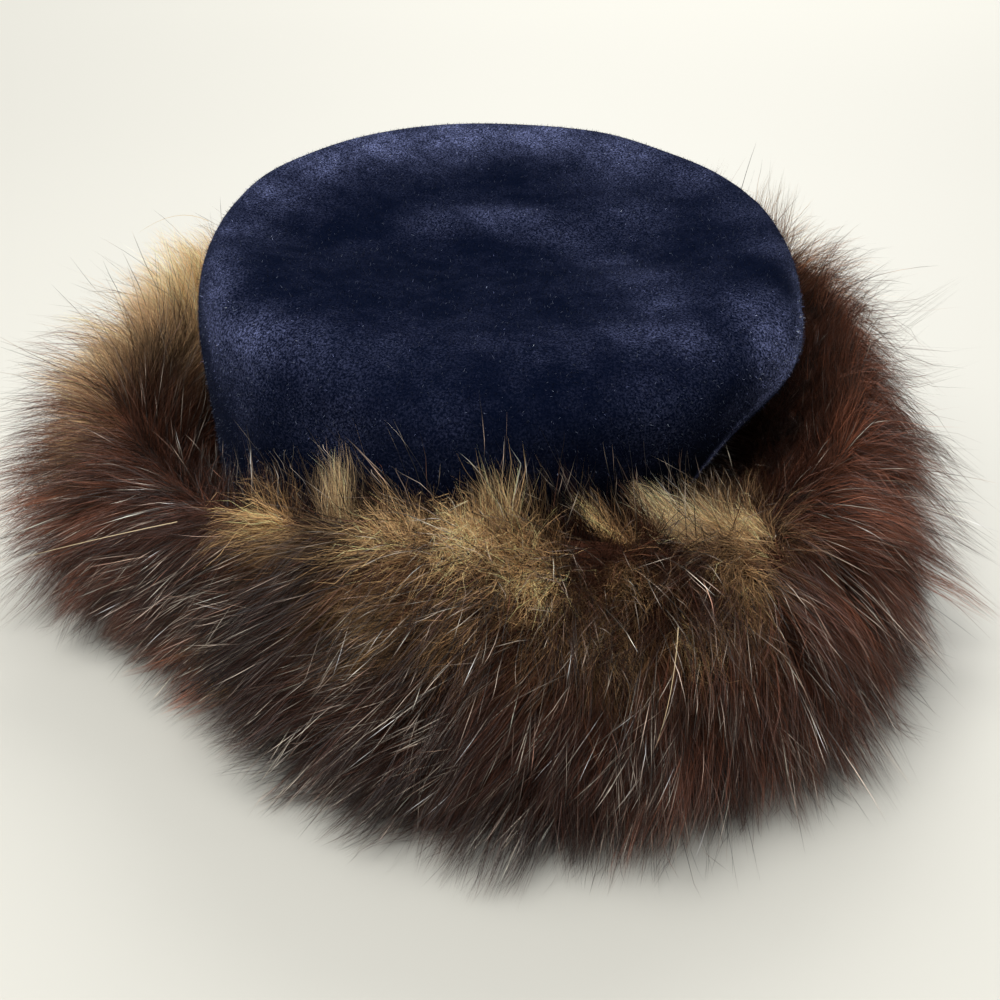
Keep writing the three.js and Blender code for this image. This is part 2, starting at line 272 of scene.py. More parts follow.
# Painted shade in the gaps of the gold: rows of the same table, as far as show, without a tuft of
# their own.
SHADED_GAPS = [
    (302, 2.4, 5, 0.35, -1),
    (248, 1.4, 3.8, 0.5, -0.7),
    (259, 1.8, 3.6, 0.5, -0.8),
    (288.5, 2, 4, 0.5, -0.9),
    (299, 1.6, 3.9, 0.5, -0.6),
    (313, 2.4, 5.5, 0.3, -0.8),
    (158, 3, 4.4, 0.8, -0.6),
    (132, 3, 4, 0.7, -0.6),
]
NO_TUFT = (0, 0, 0, 1, 0, 0)
GOLDEN_PATCHES = table(PATCH_COLUMNS, [
    (254, 3.7, 3.6, 0.5, 1, 0, 6, 1, 1.9, 0.06, 0.7),
    (244, 5, 4.4, 0.8, 0.8, 195, 60, 0.7, 0.75, 0.4, 0),
    (264, 5, 4.3, 0.7, 0.9, 185, 55, 0.7, 0.65, 0.8, 0.1),
    (273, 5, 4.4, 0.9, 1, 175, 35, 0.7, 0.65, 0.9, 0.15),
    (279, 2.8, 3.5, 0.5, 1, 140, 8, 0.95, 1.7, 0.3, 0.4),
    (281, 4.5, 4.8, 0.9, 0.95, 215, 55, 0.5, 0.55, 0.9, 0.1),
    (294.5, 1.8, 3.7, 0.4, 0.95, 168, 52, 0.95, 1.25, 0.1, 0),
    (305.5, 4.6, 3.9, 0.7, 1, 164, 52, 0.95, 1.1, 0.12, 0.6),
    (312.5, 3.6, 4.4, 0.7, 1, 168, 62, 1, 0.95, 0.18, 0.4),
    (305, 6, 5.2, 0.7, 0.8, 230, 70, 0.4, 0.6, 0.6, -0.2),
    (292, 4, 4.9, 0.5, 0.5, 225, 60, 0.4, 0.6, 0.7, -0.35),
    (261, 8, 5.8, 0.6, 0.75, 225, 70, 0.2, 0.6, 0.6, -0.45),
    (271, 6, 5.6, 0.5, 0.5, 225, 70, 0.1, 0.6, 0.6, -0.45),
    (289, 5, 5.6, 0.6, 0.7, 240, 70, 0.2, 0.6, 0.6, -0.4),
    (299, 3, 5.8, 0.45, 0.9, 250, 60, 0.3, 0.6, 0.5, -0.1),
    (229, 7, 7.8, 1, 1, 225, 85, 0.3, 0.9, 0.2, 0),
    (120, 22, 4.6, 2.2, 1, 150, 56, 0.4, 1, 0.3, 0.35),
    (148, 19, 4.6, 2.3, 1, 165, 60, 0.4, 0.9, 0.3, 0.6),
    (168, 10, 4.8, 1.4, 0.8, 182, 68, 0.4, 0.9, 0.3, 0.5),
    (181, 9, 5.4, 1, 0.55, 190, 72, 0.4, 0.9, 0.3, 0.25),
    (38, 16, 4.7, 1.1, 0.35, 45, 50, 0.3, 0.9, 0.4, 0),
    (78, 18, 4.5, 1.2, 0.55, 85, 50, 0.3, 0.9, 0.4, 0),
] + [(*gap, *NO_TUFT) for gap in SHADED_GAPS])

# The coats of fur. Tone picks a coat's colours. The way is counted in the pelt's rows and lengths
# are shares of the guard hair's length there. The width is in millimetres, and the lift, which is
# added to the pelt's own, the ruffle of the lift and the stray of the sweep are in degrees. Bend
# says how far a hair turns over towards its tip, follow how far it keeps to the pelt's curve, droop
# how far its tip sinks, clump how tightly tips gather, crimp how kinked it is in millimetres, and
# favour how much it crowds into the golden patches.
COAT_COLUMNS = ("name tone count steps way length width lift ruffle stray "
                "bend follow droop clump crimp favour")
FUR_COATS = table(COAT_COLUMNS, [
    ("fur_underfur", "under", 62000, 2, (1.4, 9.4), (0.24, 0.48), 0.17, 14, 20, 40,
     0.2, 0.2, 0.0, 0.35, 1.6, 5.0),
    ("fur_crest", "crest", 38000, 3, (1.6, 5.0), (0.36, 0.66), 0.18, 16, 16, 28,
     0.35, 0.2, 0.06, 0.5, 1.1, 1.6),
    ("fur_guard_upper", "guard", 39000, 3, (4.2, 7.0), (0.55, 0.92), 0.19, 4, 14, 20,
     0.45, 0.3, 0.1, 0.8, 0.3, -0.9),
    ("fur_guard_lower", "guard", 39000, 3, (6.4, 9.8), (0.72, 1.05), 0.19, 4, 13, 16,
     0.35, 0.15, 0.1, 0.82, 0.3, -0.6),
    # The silver coat's pale hairs are bright only over a short stretch: a painted glint.
    ("fur_silver", "silver", 5200, 6, (2.6, 9.6), (0.6, 0.98), 0.24, 4, 13, 20,
     0.2, 0.2, 0.05, 0.2, 0.1, -0.4),
])
# Long straw-coloured hairs that lie over the fur, through three places from the hem's centre in mm.
STRAW_HAIRS = [
    [(61, -143, 76), (59, -150, 60), (55, -155, 45)],
    [(-79, -85, 74), (-104, -90, 71), (-126, -90, 65)],
    [(96, 96, 100), (108, 104, 104), (122, 108, 98)],
    [(-92, 78, 104), (-106, 84, 104), (-122, 86, 96)],
]
STRAW_STEPS = 9
STRAW_WIDTH = 0.24 * MM
STRAW_TWIST = 0.2
STRAW_FACING = (0.0, -0.6, 0.8)
# Straw beside the golden colour, in red, green and blue.
STRAW_TINT = (0.6, 0.75, 1.0)
# Hairs gather into tufts and tufts into locks, which stand about this far apart.
LOCK_SPACING = 16.0 * MM
TUFT_SPACING = 3.8 * MM
GUIDE_TRIES = 9000
# Places tried for each hair. Coats that keep out of the gold also keep off the places whose hair
# would fall over it, by this share, so many degrees round and so many rows on.
ROOT_TRIES = 6
OVER_GOLD = 0.9
FALL_ROUND = 5.0
FALL_ON = 0.8
# How near the floor tips may come, in millimetres, and how far off the felt all hair stays, which
# is looked at within this radius of the hem's centre.
FLOOR_GAP = (0.4, 4.0)
FELT_GAP = 0.8 * MM
FELT_RADIUS = 125.0 * MM
# How upright hair may stand, in degrees from the pelt, and how much longer or shorter it may grow.
LIFT_RANGE = (12.0, 100.0)
GROWTH_RANGE = (-0.4, 0.2)
GROWTH_SPREAD = 0.16
# Tufts sway the guard hair less than the coats below it, and their own hairs are cut more evenly
# and a little shorter, and droop less.
GUARD_SWAY = 0.4
TUFT_EVENNESS = 0.6
TUFT_CUT = 0.2
TUFT_HOLD = 0.6
# How far a bent hair turns in to the pelt beside how far it turns on.
TURN_IN = 0.25
# Shares of a lock's random traits that its tufts and their hairs add, and of a coat's clump that
# draws tufts to their lock. The loosest hairs follow their tuft less by a share.
TUFT_OWN = 0.6
HAIR_OWN = 0.5
LOCK_PULL = 0.5
LOOSEST = 0.6
# How far hairs twist, in radians, and the range of their widths.
HAIR_TWIST = 0.9
HAIR_WIDTHS = (0.6, 1.25)
# A strand's width at its tip as a share, and the empty border of its cell in the map.
TIP_WIDTH = 0.45
CELL_MARGIN = 0.14
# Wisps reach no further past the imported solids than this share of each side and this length.
PROUD_SHARE = 0.03
PROUD_REACH = 8.5 * MM

BLEACHED_GOLD = (1.0, 0.74, 0.43)

# The soft lights, in metres, each with its share of the key light's power, and the pale sky.
LAMPS = table("name place target size share", [
    ("key", (-0.35, -0.45, 1.3), (0.0, 0.0, 0.05), 1.1, 1.0),
    ("back", (0.25, 1.2, 1.1), (0.0, 0.0, 0.08), 1.0, 0.8),
])
SKY_COLOUR = (0.94, 0.96, 1.0, 1.0)
SKY_STRENGTH = 0.36
FLOOR_SIZE = 8.0
# What the camera looks at, in millimetres from the hem's centre, its roll in degrees and its lens.
CAMERA_AIM = (15.4, 7.6, 22.9)
CAMERA_ROLL = -0.857
CAMERA_LENS = 54.0
CAMERA_SENSOR = 36.0


class CrownSettings(bpy.types.PropertyGroup):
    """Finish of the velour crown."""

    felt_colour: FloatVectorProperty(
        name="Felt Colour", description="Colour of the felt down in its nap", subtype="COLOR",
        min=0.0, max=1.0, default=(0.0016, 0.0031, 0.0100))
    # The colour of the painted sheen highlights on the felt, and of its raised fibres.
    nap_sheen_colour: FloatVectorProperty(
        name="Nap Colour", description="Colour of the nap where it is brushed towards the light",
        subtype="COLOR", min=0.0, max=1.0, default=(0.100, 0.115, 0.218))
    sheen_colour: FloatVectorProperty(
        name="Sheen Colour", description="Tint of the soft light along the pile", subtype="COLOR",
        min=0.0, max=1.0, default=(0.42, 0.48, 0.75))
    dent_depth: FloatProperty(
        name="Dent Depth", description="How strongly the felt's soft dents show", default=1.0,
        min=0.0, max=2.0)
    nap_length: FloatProperty(
        name="Nap Length", description="Length of the raised fibres", subtype="DISTANCE",
        unit="LENGTH", default=1.0 * MM)
    nap_fibres: IntProperty(
        name="Nap Fibres", description="How many raised fibres the crown carries", default=70000,
        min=0)
    lint_fibres: IntProperty(
        name="Lint Fibres", description="How many pale stray fibres lie on the nap", default=11000,
        min=0)


class FurSettings(bpy.types.PropertyGroup):
    """Colours and fullness of the fur brim."""

    fullness: FloatProperty(
        name="Fullness", description="Share of the hairs that each coat gets", default=1.0,
        min=0.05, max=1.5)
    skin_colour: FloatVectorProperty(
        name="Skin Colour", description="Colour of the pelt between the hairs", subtype="COLOR",
        min=0.0, max=1.0, default=(0.014, 0.008, 0.006))
    dark_colour: FloatVectorProperty(
        name="Dark Colour", description="Colour of the dark guard hairs", subtype="COLOR", min=0.0,
        max=1.0, default=(0.0062, 0.0033, 0.0030))
    brown_colour: FloatVectorProperty(
        name="Brown Colour", description="Colour of the warm brown guard hairs", subtype="COLOR",
        min=0.0, max=1.0, default=(0.195, 0.070, 0.038))
    golden_colour: FloatVectorProperty(
        name="Golden Colour", description="Colour of the golden tan underfur", subtype="COLOR",
        min=0.0, max=1.0, default=(0.97, 0.60, 0.27))
    # The pale hairs show it only along their painted glints, and tips near the sole take a little
    # of it in their painted light.
    silver_colour: FloatVectorProperty(
        name="Silver Colour", description="Colour of the palest guard hairs", subtype="COLOR",
        min=0.0, max=1.0, default=(0.86, 0.75, 0.61))


class StageSettings(bpy.types.PropertyGroup):
    """Floor, light and camera."""

    floor_colour: FloatVectorProperty(
        name="Floor Colour", description="Colour of the pale floor", subtype="COLOR", min=0.0,
        max=1.0, default=(0.60, 0.585, 0.52))
    camera_elevation: FloatProperty(
        name="Camera Elevation", description="Height of the camera above the horizon",
        subtype="ANGLE", unit="ROTATION", default=math.radians(31.57))
    camera_distance: FloatProperty(
        name="Camera Distance", description="Distance from the camera to what it looks at",
        subtype="DISTANCE", unit="LENGTH", default=0.544)
    key_power: FloatProperty(
        name="Key Power", description="Power of the large soft light in watts", default=21.5,
        min=0.0)


def deselect_all():
    """Leaves object mode with nothing selected."""
    if bpy.context.object and bpy.context.object.mode != "OBJECT":
        bpy.ops.object.mode_set(mode="OBJECT")
    bpy.ops.object.select_all(action="DESELECT")


def select_only(piece):
    """Makes one object the selected and active one."""
    deselect_all()
    piece.select_set(True)
    bpy.context.view_layer.objects.active = piece


def join_in(piece, material, node):
    """Gives a piece its material, and ties it to the frame."""
    piece.data.materials.clear()
    piece.data.materials.append(material)
    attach(piece, BODY)
    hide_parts(node)


def unit(vectors):
    """Vectors of length one."""
    return vectors / np.maximum(np.linalg.norm(vectors, axis=-1, keepdims=True), 1e-12)


def smoothstep(values, low, high):
    """0 below low, 1 above high and smooth between."""
    t = np.clip((values - low) / (high - low), 0.0, 1.0)
    return t * t * (3.0 - 2.0 * t)


def through(before, start, end, after, t):
    """Catmull-Rom between start and end."""
    slope_start = (end - before) / 2
    slope_end = (after - start) / 2
    return ((2 * t**3 - 3 * t**2 + 1) * start + (t**3 - 2 * t**2 + t) * slope_start
            + (3 * t**2 - 2 * t**3) * end + (t**3 - t**2) * slope_end)


def round_table(rows, key, place):
    """A column of a closed table at places counted in its rows."""
    values = column(rows, key)
    low = np.floor(place).astype(int)
    t = place - low
    count = len(values)
    return through(values[(low - 1) % count], values[low % count], values[(low + 1) % count],
                   values[(low + 2) % count], t)


def around(key, azimuth):
    """A column of the pelt's sections at azimuths in radians."""
    return round_table(PELT_SECTIONS, key, (azimuth / FULL_TURN) % 1.0 * len(PELT_SECTIONS))


def pelt_point(azimuth, way):
    """Points of the pelt at azimuths in radians and places along its way."""
    hem = HEM_HALF[0] * HEM_HALF[1] / np.hypot(
        HEM_HALF[1] * np.cos(azimuth), HEM_HALF[0] * np.sin(azimuth))
    radius = (round_table(PELT_WAY, "hem", way) * (hem + PELT_LIFT)
              + round_table(PELT_WAY, "crest", way) * around("crest_out", azimuth) * MM
              + round_table(PELT_WAY, "bulge", way) * around("bulge_out", azimuth) * MM)
    height = round_table(PELT_WAY, "up", way) * around("crest_up", azimuth) * MM
    return np.stack([HEM_CENTRE[0] + radius * np.cos(azimuth),
                     HEM_CENTRE[1] + radius * np.sin(azimuth),
                     np.maximum(height, PELT_LIFT)], axis=-1)


def pelt_axes(azimuth, way):
    """The ways on, round and out at places on the pelt, and metres for a unit of the first two."""
    step = 0.01
    onward = (pelt_point(azimuth, way + step) - pelt_point(azimuth, way - step)) / (2 * step)
    round_ = (pelt_point(azimuth + step, way) - pelt_point(azimuth - step, way)) / (2 * step)
    on_size = np.linalg.norm(onward, axis=-1)
    round_size = np.linalg.norm(round_, axis=-1)
    out = unit(np.cross(onward, round_))
    return onward / on_size[:, None], round_ / round_size[:, None], out, on_size, round_size


def scatter_on_pelt(rng, count, way_from, way_to, favour=0.0, pale=False):
    """Places spread over a band of the pelt, crowded into its golden patches or out of them."""
    tries = count * ROOT_TRIES
    azimuth = rng.random(tries) * FULL_TURN
    way = way_from + rng.random(tries) * (way_to - way_from)
    _, _, _, on_size, round_size = pelt_axes(azimuth, way)
    gold = golden_share(azimuth, way)
    if favour < 0.0:
        fallen = golden_share(azimuth - math.radians(FALL_ROUND), way + FALL_ON)
        gold = np.maximum(gold, OVER_GOLD * fallen)
    wanted = on_size * round_size * (1.0 + favour * gold)
    if pale:
        wanted *= around("silver", azimuth)
    chosen = rng.choice(tries, size=count, replace=False, p=wanted / wanted.sum())
    return azimuth[chosen], way[chosen]


def patch_shares(azimuth, way):
    """How much of each golden patch there is at places on the pelt, one column for each patch."""
    shares = []
    for patch in GOLDEN_PATCHES:
        turn = (np.degrees(azimuth) - patch["azimuth"] + 180) % 360 - 180
        away = (turn / patch["reach"]) ** 2 + ((way - patch["way"]) / patch["spread"]) ** 2
        shares.append(np.exp(-away))
    return np.stack(shares, axis=-1)


def golden_share(azimuth, way):
    """How much the golden underfur shows at places on the pelt."""
    shares = patch_shares(azimuth, way) * column(GOLDEN_PATCHES, "show")
    return np.clip(shares.max(axis=-1) + shares.min(axis=-1), 0.0, 1.0)


def pale_gold(settings, azimuth, way):
    """The colour of the golden wool at places, paler in some patches and browner in others."""
    shares = patch_shares(azimuth, way) * np.maximum(column(GOLDEN_PATCHES, "show"), 0.0)
    pale = shares @ column(GOLDEN_PATCHES, "pale") / (shares.sum(axis=-1) + TINY)
    golden = np.tile(settings.golden_colour, (len(azimuth), 1))
    bleached = mix(golden, np.array(BLEACHED_GOLD), np.maximum(pale, 0.0))
    return bleached * (1.0 + np.minimum(pale, 0.0))[:, None]


def tuft_ways(azimuth, way):
    """Which way tufts point at places on the pelt, how firmly, how much longer and how tangled."""
    towards, lean = (np.radians(column(GOLDEN_PATCHES, key)) for key in ("towards", "lean"))
    stand, size, wild = (column(GOLDEN_PATCHES, key) for key in ("stand", "size", "wild"))
    pointing = np.stack([np.sin(lean) * np.cos(towards), np.sin(lean) * np.sin(towards),
                         np.cos(lean)], axis=-1)
    share = patch_shares(azimuth, way) * stand
    firm = np.clip(share.max(axis=-1) * 1.3, 0.0, 1.0)
    part = share / (share.sum(axis=-1, keepdims=True) + TINY)
    longer = 1.0 + firm * (part @ size - 1.0)
    return unit(share @ pointing + TINY), firm, longer, firm * (part @ wild)


def wall_tree(mesh):
    """A mesh's faces in a tree that finds the nearest of them."""
    return BVHTree.FromPolygons([v.co for v in mesh.vertices], [p.vertices for p in mesh.polygons])


def nearest_rows(rows, points):
    """For each point, the number of the nearest row."""
    tree = KDTree(len(rows))
    for number, row in enumerate(rows):
        tree.insert(row, number)
    tree.balance()
    return np.array([tree.find(point)[1] for point in points])


def comb(rng, coat, azimuth, way, traits):
    """The paths of hairs rooted at places on the pelt, as an array of hairs, steps and coordinates.

    Each hair's traits are how far it strays round and how far it is raised, in degrees, and how
    much longer it has grown, as a share.
    """
    count = len(azimuth)
    onward, round_, out, on_size, round_size = pelt_axes(azimuth, way)
    sweep = np.radians(around("sweep", azimuth) + traits[:, 0])
    lie = onward * np.cos(sweep)[:, None] - round_ * np.sin(sweep)[:, None]
    tuft, firm, longer, wild = tuft_ways(azimuth, way)
    if coat["tone"] in ("guard", "silver"):
        firm, longer = GUARD_SWAY * firm, np.ones(count)
    inner = around("inner", azimuth)
    inner = inner + (1.0 - inner) * smoothstep(way, *TO_CREST)
    low = 1.0 + (around("low", azimuth) - 1.0) * smoothstep(way, *TO_SOLE)
    grown = rng.uniform(*coat["length"], count)
    grown += (np.mean(coat["length"]) - grown) * TUFT_EVENNESS * firm
    length = around("hair", azimuth) * MM * grown
    length *= (inner * low * longer * (1.0 + np.clip(traits[:, 2], *GROWTH_RANGE))
               * (1.0 - TUFT_CUT * firm))
    lift = around("lift", azimuth) + coat["lift"] + traits[:, 1]
    lift = np.radians(np.clip(lift, *LIFT_RANGE))
    firm = firm[:, None]
    start = lie * np.cos(lift)[:, None] + out * np.sin(lift)[:, None]
    start = unit(start + (tuft - start) * firm + rng.normal(size=(count, 3)) * wild[:, None])
    end = start + coat["bend"] * (1.0 - firm) * (lie - TURN_IN * out)
    end[:, 2] -= coat["droop"] * (1.0 - TUFT_HOLD * firm[:, 0])
    end = unit(end)
    root = pelt_point(azimuth, way)
    reach = length * np.einsum("ij,ij->i", (start + end) / 2, lie)
    end_way = way + reach * np.cos(sweep) / on_size
    follow = coat["follow"] * (1.0 - smoothstep(end_way, *LET_GO))
    paths = np.empty((count, coat["steps"] + 1, 3))
    for step in range(coat["steps"] + 1):
        t = step / coat["steps"]
        free = root + length[:, None] * (start * t + (end - start) * (t * t / 2))
        place = way + (end_way - way) * t
        turned = azimuth - reach * t * np.sin(sweep) / round_size
        curve = pelt_point(turned, place) - (root + lie * (reach * t)[:, None])
        paths[:, step] = free + curve * follow[:, None]
        crimp = coat["crimp"] * (1.0 + wild) * MM * min(1.0, 2.0 * t)
        paths[:, step] += rng.normal(size=(count, 3)) * crimp[:, None]
    return paths


def gather(paths, guides, owner, strength):
    """Draws hairs towards their guides, most at their tips."""
    for step in range(1, paths.shape[1]):
        t = step / (paths.shape[1] - 1)
        pull = (strength * t ** 1.3)[:, None]
        offset = guides[owner, step] - paths[:, step]
        paths[:, step] += offset * pull
    return paths


def keep_clear(paths, rng, walls):
    """Keeps hairs above the floor and outside the crown."""
    floor = rng.uniform(*FLOOR_GAP, len(paths)) * MM
    for step in range(1, paths.shape[1]):
        points = paths[:, step]
        away = np.hypot(*(points[:, :2] - HEM_CENTRE).T)
        for number in np.flatnonzero(away < FELT_RADIUS):
            place, normal, _, _ = walls.find_nearest(Vector(points[number]))
            if (Vector(points[number]) - place).dot(normal) < FELT_GAP:
                points[number] = place + normal * FELT_GAP
        points[:, 2] = np.maximum(points[:, 2], floor)
    return paths


def keep_short(paths):
    """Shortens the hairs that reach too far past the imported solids."""
    low, high = (np.array(corner) for corner in CAD_BOUNDS)
    proud = (high - low) * PROUD_SHARE + PROUD_REACH
    root = paths[:, :1]
    away = paths - root
    room = np.where(away > 0.0, high + proud - root, root - low + proud)
    share = (room / np.maximum(np.abs(away), TINY)).min(axis=(1, 2))
    return root + away * np.minimum(share, 1.0)[:, None, None]


def ribbon_mesh(name, paths, sides, widths, colours):
    """One mesh of tapering ribbons, with a colour at each step and a cell for each in its map."""
    count, rows, _ = paths.shape
    body = rows - 1
    taper = np.linspace(1.0, TIP_WIDTH, body)
    half = widths[:, None, None] * taper[None, :, None] / 2
    left = paths[:, :body] - sides[:, :body] * half
    right = paths[:, :body] + sides[:, :body] * half
    per_strand = 2 * body + 1
    points = np.empty((count, per_strand, 3))
    points[:, 0:2 * body:2] = left
    points[:, 1:2 * body:2] = right
    points[:, -1] = paths[:, -1]
    tint = np.ones((count, per_strand, 4))
    tint[:, 0:2 * body:2, :3] = colours[:, :body]
    tint[:, 1:2 * body:2, :3] = colours[:, :body]
    tint[:, -1, :3] = colours[:, -1]

    quads = [2 * row + corner for row in range(body - 1) for corner in (0, 1, 3, 2)]
    corners = np.array(quads + [2 * body - 2, 2 * body - 1, 2 * body])
    sizes = [4] * (body - 1) + [3]
    loops = (corners[None] + per_strand * np.arange(count)[:, None]).ravel()
    starts = np.concatenate([[0], np.cumsum(np.tile(sizes, count))[:-1]])

    mesh = bpy.data.meshes.new(name)
    mesh.vertices.add(count * per_strand)
    mesh.vertices.foreach_set("co", points.ravel())
    mesh.loops.add(len(loops))
    mesh.loops.foreach_set("vertex_index", loops.astype(np.int32))
    mesh.polygons.add(len(starts))
    mesh.polygons.foreach_set("loop_start", starts.astype(np.int32))
    mesh.update(calc_edges=True)
    mesh.polygons.foreach_set("use_smooth", np.ones(len(starts), dtype=bool))
    layer = mesh.color_attributes.new(name=STRAND_COLOUR, type="FLOAT_COLOR", domain="POINT")
    layer.data.foreach_set("color", tint.ravel())

    across = math.ceil(math.sqrt(count))
    cell = np.stack([np.arange(count) % across, np.arange(count) // across], axis=-1)
    span = np.concatenate([np.repeat(np.arange(body) / body, 2), [1.0]])
    side = np.concatenate([np.tile([0.0, 1.0], body), [0.5]])
    local = CELL_MARGIN + (1.0 - 2.0 * CELL_MARGIN) * np.stack([span, side], axis=-1)
    places = (cell[:, None] + local[None])[:, corners] / across
    mesh.uv_layers.new(name=STRAND_MAP).data.foreach_set("uv", places.ravel())

    piece = bpy.data.objects.new(name, mesh)
    bpy.context.scene.collection.objects.link(piece)
    return piece


def ribbon_sides(rng, paths, facing, spread):
    """The way across each ribbon at each step, turned at random about the hair."""
    along = unit(np.diff(paths, axis=1))
    across = unit(np.cross(along, facing[:, None]))
    other = np.cross(across, along)
    turn = rng.normal(0.0, spread, len(paths))[:, None, None]
    return across * np.cos(turn) + other * np.sin(turn)


def mix(first, second, share):
    """Colours mixed by a share for each row."""
    return first + (second - first) * share[..., None]


def coat_colours(rng, settings, coat, azimuth, way, tuft, lock):
    """The colour of each hair at each of its steps, mixed from root to tip as its coat's tone says.

    Hairs of a tuft or a lock share a shade, and each has some of its own. Golden patches colour the
    underfur and the crest, and only some tufts of the guard hair.
    """
    count = len(azimuth)
    dark, brown = np.array(settings.dark_colour), np.array(settings.brown_colour)
    golden, silver = pale_gold(settings, azimuth, way), np.array(settings.silver_colour)
    own = rng.random(count)
    in_tuft = rng.random(tuft.max() + 1)[tuft]
    in_lock = rng.random(lock.max() + 1)[lock]
    gold = golden_share(azimuth, way)
    along = np.linspace(0.0, 1.0, coat["steps"] + 1)[None, :] * np.ones((count, 1))
    warm = around("warm", azimuth) * (0.35 + 0.9 * in_lock * in_tuft) + 0.3 * own ** 4
    warm = np.clip(warm, 0, 1)
    if coat["tone"] == "under":
        root = mix(brown * 0.4, golden * 0.8, np.clip(1.25 * gold - 0.2 * own, 0, 1))
        tip = mix(brown * 0.7, golden, np.clip(1.3 * gold - 0.2 * own, 0, 1))
        colours = mix(root[:, None], tip[:, None], along)
    elif coat["tone"] == "crest":
        shown = np.clip(gold * (0.9 + 0.8 * in_tuft) - 0.4 * (own > 0.85), 0, 1)
        root = mix(mix(dark, brown, warm), golden * 0.8, shown)
        tip = mix(mix(dark, brown, warm * 0.7), golden, shown)
        colours = mix(root[:, None], tip[:, None], along ** 1.5)
    elif coat["tone"] == "guard":
        shown = gold * (own < 0.3 + 0.6 * in_tuft)
        root = mix(mix(dark, brown, 0.5 + 0.5 * warm), golden * 0.7, shown)
        middle = mix(dark, brown, warm)
        tip = mix(mix(dark, brown, warm * 0.8), silver * 0.6, 0.6 * (rng.random(count) < 0.12))
        # Towards the sole the tips are painted paler, for light shining through them.
        tip = mix(tip, brown + silver * 0.16, smoothstep(way, *LIT_THROUGH_TIPS) * own ** 0.6)
        rusty = gold * smoothstep(way, *RUSTY_GOLD)
        middle, tip = mix(middle, brown * 1.8, rusty), mix(tip, brown * 2.8, rusty)
        root *= 0.6
        lower = mix(root[:, None], middle[:, None], smoothstep(along, 0.1, 0.6))
        colours = mix(lower, tip[:, None], smoothstep(along, 0.6, 1.0))
    else:
        # Pale hairs, bright only over a short stretch of their length: a painted glint.
        pale = mix(brown, silver, own ** 0.8)
        middle = rng.uniform(0.4, 1.0, count)[:, None]
        bright = np.clip(1.3 - 7.0 * np.abs(along - middle), 0.04, 1.0)
        colours = pale[:, None] * bright[..., None]
    # Painted shade in the trough by the crown, less under the gold.
    trough_shade = 1.0 - 0.65 * (1.0 - smoothstep(way, *SHADED_TROUGH)) * (1.0 - np.clip(1.4 * gold, 0, 1))
    uneven = (0.5 + 0.9 * in_tuft) * (1.0 - gold) + (0.85 + 0.4 * in_tuft) * gold
    shade = rng.lognormal(0.0, 0.4, count) * uneven * (0.75 + 0.5 * in_lock) * trough_shade
    return np.clip(colours * shade[:, None, None], 0.0, 1.0)


def wire(tree, links):
    """Links nodes: each row holds a node, its output, the next node and its input."""
    for start, output, end, entry in links:
        tree.links.new(start.outputs[output], end.inputs[entry])


def new_material(name):
    """A node material with a Principled BSDF, its tree and that shader."""
    material = bpy.data.materials.new(name)
    material.use_nodes = True
    tree = material.node_tree
    return material, tree, tree.nodes["Principled BSDF"]


def fill(node, inputs):
    """Gives inputs of a node their values, by name or number."""
    for key, value in inputs.items():
        node.inputs[key].default_value = value


def add_node(tree, kind, inputs=None, **settings):
    """A node with its settings made and some of its inputs filled in."""
    node = tree.nodes.new(kind)
    for key, value in settings.items():
        setattr(node, key, value)
    fill(node, inputs or {})
    return node


def patch_and_grain_group():
    """Soft noise patches with fine fibre grain, as a mask and a normal: painted sheen on the
    velour, wool colour on the pelt.
    """
    group = bpy.data.node_groups.new("Sheen And Wool Patches", "ShaderNodeTree")
    sockets = [("Vector", "INPUT", "Vector"), ("Patch Scale", "INPUT", "Float"),
               ("Grain Scale", "INPUT", "Float"), ("Depth", "INPUT", "Float"),
               ("Mask", "OUTPUT", "Float"), ("Grain", "OUTPUT", "Float"),
               ("Normal", "OUTPUT", "Vector")]
    for name, in_out, kind in sockets:
        group.interface.new_socket(name=name, in_out=in_out, socket_type="NodeSocket" + kind)
    inputs = add_node(group, "NodeGroupInput")
    outputs = add_node(group, "NodeGroupOutput")
    patch = add_node(group, "ShaderNodeTexNoise",
                     {"Detail": 4.0, "Roughness": 0.55, "Distortion": 0.6})
    grain = add_node(group, "ShaderNodeTexNoise", {"Detail": 3.0, "Roughness": 0.7})
    ramp = add_node(group, "ShaderNodeMapRange", {"From Min": 0.36, "From Max": 0.70},
                    interpolation_type="SMOOTHSTEP")
    bump = add_node(group, "ShaderNodeBump", {"Distance": 0.4 * MM})
    wire(group, [
        (inputs, "Vector", patch, "Vector"), (inputs, "Patch Scale", patch, "Scale"),
        (inputs, "Vector", grain, "Vector"), (inputs, "Grain Scale", grain, "Scale"),
        (patch, "Fac", ramp, "Value"), (ramp, "Result", outputs, "Mask"),
        (grain, "Fac", outputs, "Grain"), (inputs, "Depth", bump, "Strength"),
        (grain, "Fac", bump, "Height"), (bump, "Normal", outputs, "Normal")])
    return group


